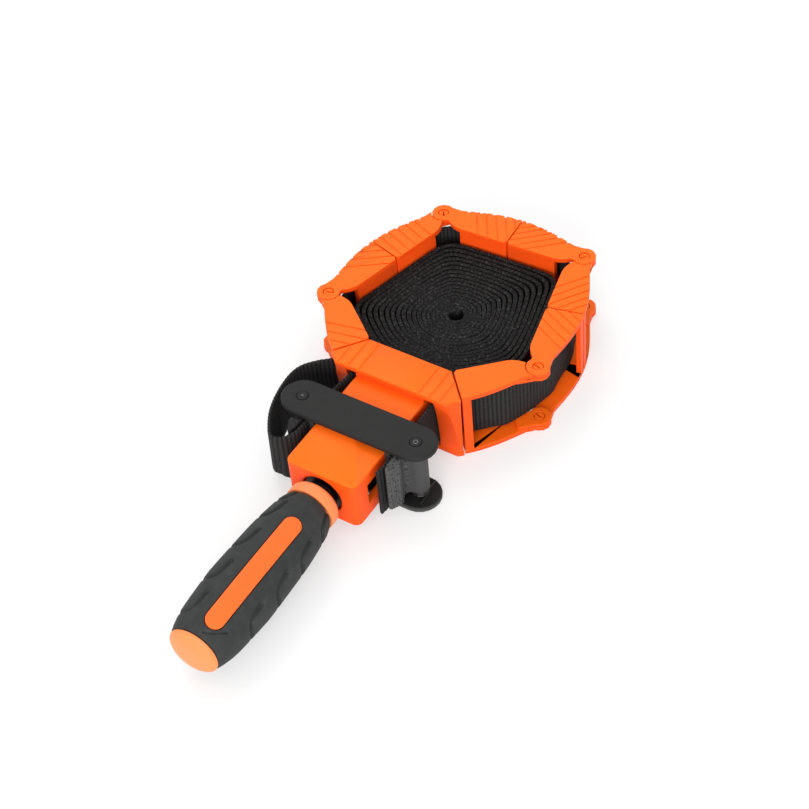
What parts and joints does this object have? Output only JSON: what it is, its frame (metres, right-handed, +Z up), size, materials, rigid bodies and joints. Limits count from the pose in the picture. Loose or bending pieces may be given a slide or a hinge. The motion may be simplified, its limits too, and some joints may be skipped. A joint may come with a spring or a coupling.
{
  "type": "band clamp",
  "caption": "Hand screw clamp with a webbing belt round a ring of hinged corner leaves, spare belt coiled inside, cam levers and a turning grip.",
  "frame": {"origin": "centre of the head's flat underside, between the jaw and the posts", "axes": "+Y from the handle to the ring, +X to the right of the hand that holds the handle, +Z up from the face it lies on"},
  "size_m": [0.1089, 0.2502, 0.033],
  "materials": {
    "orange_nylon": "fine moulded satin",
    "handle_orange": "smooth moulded",
    "grip_rubber": "soft moulded tread",
    "webbing": "woven flat webbing",
    "dark_plate": "satin powder coat",
    "grey_casting": "satin over a fine cast grain",
    "steel": "bright, turned",
    "nut_brass": "turned"
  },
  "bodies": {
    "head": {"housing": "orange_nylon", "spindle_bushing": "steel", "leaf_head_left": "orange_nylon", "leaf_left_far": "orange_nylon", "leaf_right_far": "orange_nylon", "leaf_head_right": "orange_nylon", "hinge_pin_near_left": "orange_nylon", "hinge_pin_near_left_low": "orange_nylon", "hinge_pin_far_left": "orange_nylon", "hinge_pin_far_left_low": "orange_nylon", "hinge_pin_far_right": "orange_nylon", "hinge_pin_far_right_low": "orange_nylon", "hinge_pin_near_right": "orange_nylon", "hinge_pin_near_right_low": "orange_nylon", "band_ring": "webbing", "band_coil": "webbing", "band_loop": "webbing", "band_strand_left": "webbing", "band_strand_right": "webbing"},
    "yoke": {"yoke_plate_top": "dark_plate", "yoke_plate_bottom": "dark_plate", "nut_block": "grey_casting", "drive_nut": "nut_brass", "lever_pin_left": "steel", "lever_pin_right": "steel", "lever_spring_left": "steel", "lever_spring_right": "steel", "band_tail": "webbing"},
    "handle": {"spindle": "steel", "handle_core": "handle_orange", "handle_grip": "grip_rubber", "handle_cap": "handle_orange", "thrust_washer": "steel", "retaining_clip": "steel"},
    "lever_left": {"cam_lever_left": "grey_casting"},
    "lever_right": {"cam_lever_right": "grey_casting"},
    "corner_near_left": {"leaf_left_near": "orange_nylon"},
    "corner_far_left": {"leaf_far_left": "orange_nylon"},
    "corner_far_right": {"leaf_far_right": "orange_nylon"},
    "corner_near_right": {"leaf_right_near": "orange_nylon"}
  },
  "joints": [
    {"name": "handle_turn", "type": "hinge", "parent": "head", "child": "handle", "pos_m": [0, 0, 0.0165], "axis": [0, 1, 0], "range_deg": [-1680, 1080]},
    {"name": "yoke_slide", "type": "slide", "parent": "head", "child": "yoke", "axis": [0, 1, 0], "range_m": [-0.014, 0.009], "deforming": ["band_strand_right", "band_strand_left", "band_loop"]},
    {"name": "lever_left_swing", "type": "hinge", "parent": "yoke", "child": "lever_left", "pos_m": [-0.0266, -0.031, 0.0165], "axis": [0, 0, 1], "range_deg": [-20, 0], "stiffness_Nm_per_rad": 0.02},
    {"name": "lever_right_swing", "type": "hinge", "parent": "yoke", "child": "lever_right", "pos_m": [0.0266, -0.031, 0.0165], "axis": [0, 0, 1], "range_deg": [0, 35], "stiffness_Nm_per_rad": 0.02},
    {"name": "corner_near_left_swing", "type": "hinge", "parent": "head", "child": "corner_near_left", "pos_m": [-0.05029, 0.02431, 0.0165], "axis": [0, 0, 1], "range_deg": [0, 67], "deforming": ["band_ring"]},
    {"name": "corner_far_left_swing", "type": "hinge", "parent": "head", "child": "corner_far_left", "pos_m": [-0.03285, 0.08941, 0.0165], "axis": [0, 0, 1], "range_deg": [0, 72.1], "deforming": ["band_ring"]},
    {"name": "corner_far_right_swing", "type": "hinge", "parent": "head", "child": "corner_far_right", "pos_m": [0.03447, 0.09279, 0.0165], "axis": [0, 0, 1], "range_deg": [-80.6, 0], "deforming": ["band_ring"]},
    {"name": "corner_near_right_swing", "type": "hinge", "parent": "head", "child": "corner_near_right", "pos_m": [0.0488, 0.02693, 0.0165], "axis": [0, 0, 1], "range_deg": [-59.3, 0], "deforming": ["band_ring"]}
  ],
  "couplings": [
    {"joint": "handle_turn", "follows": "yoke_slide", "rad_per_m": 2094.4}
  ]
}
